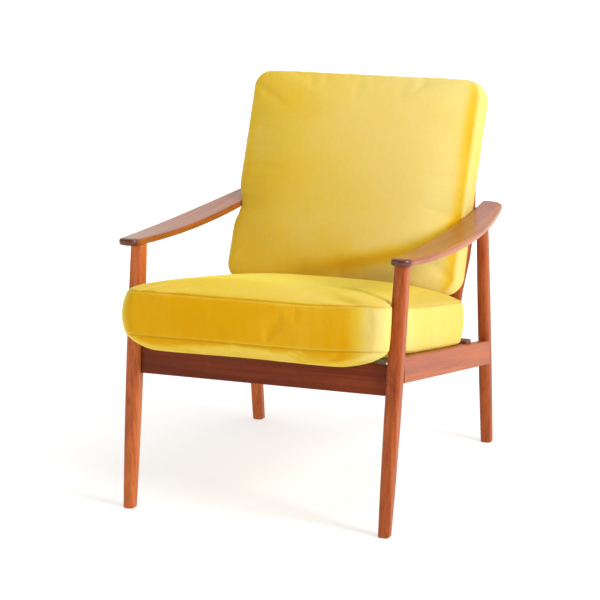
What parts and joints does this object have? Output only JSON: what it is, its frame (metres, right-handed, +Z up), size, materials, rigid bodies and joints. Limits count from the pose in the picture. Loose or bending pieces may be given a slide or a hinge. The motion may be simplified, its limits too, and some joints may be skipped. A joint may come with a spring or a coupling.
{
  "type": "upholstered armchair",
  "caption": "Mid-century easy chair with a tapered oiled hardwood show frame, bowed open armrests, a sloping sprung seat and two loose boxed velvet cushions",
  "frame": {"origin": "on the floor under the middle of the chair's bounding box", "axes": "+X to the sitter's left, +Y from the front to the back, +Z up"},
  "size_m": [0.6812, 0.8113, 0.8288],
  "materials": {
    "teak": "oiled satin",
    "dowel": "bare beech",
    "strip_steel": "dull rolled steel",
    "zinc_screw": "zinc plated",
    "spring_steel": "drawn wire",
    "velvet": "short-pile velvet",
    "foam": "open-cell foam",
    "zip": "woven nylon coil"
  },
  "bodies": {
    "frame": {"front_leg_left": "teak", "front_leg_right": "teak", "back_leg_left": "teak", "back_leg_right": "teak", "side_rail_left": "teak", "side_rail_right": "teak", "front_rail": "teak", "rear_rail": "teak", "armrest_left": "teak", "armrest_right": "teak", "back_stile_left": "teak", "back_stile_right": "teak", "back_top_rail": "teak", "back_slat_1": "teak", "back_slat_2": "teak", "back_slat_3": "teak", "back_slat_4": "teak", "arm_dowel_left": "dowel", "arm_dowel_right": "dowel", "spring_strip_left": "strip_steel", "spring_strip_right": "strip_steel", "strip_screws_left": "zinc_screw", "strip_screws_right": "zinc_screw", "seat_spring_1": "spring_steel", "seat_spring_2": "spring_steel", "seat_spring_3": "spring_steel", "seat_spring_4": "spring_steel", "seat_spring_5": "spring_steel", "seat_spring_6": "spring_steel", "seat_spring_7": "spring_steel", "seat_spring_8": "spring_steel"},
    "seat_cushion": {"seat_cushion_cover": "velvet", "seat_cushion_foam": "foam", "seat_cushion_zip": "zip"},
    "back_cushion": {"back_cushion_cover": "velvet", "back_cushion_foam": "foam", "back_cushion_zip": "zip"}
  },
  "joints": [
    {"name": "seat_cushion_slide", "type": "slide", "parent": "frame", "child": "seat_cushion", "axis": [0, -0.9848, 0.1736], "range_m": [0, 0.6]},
    {"name": "back_cushion_slide", "type": "slide", "parent": "frame", "child": "back_cushion", "axis": [0, 0.4099, 0.9121], "range_m": [0, 0.5]}
  ]
}
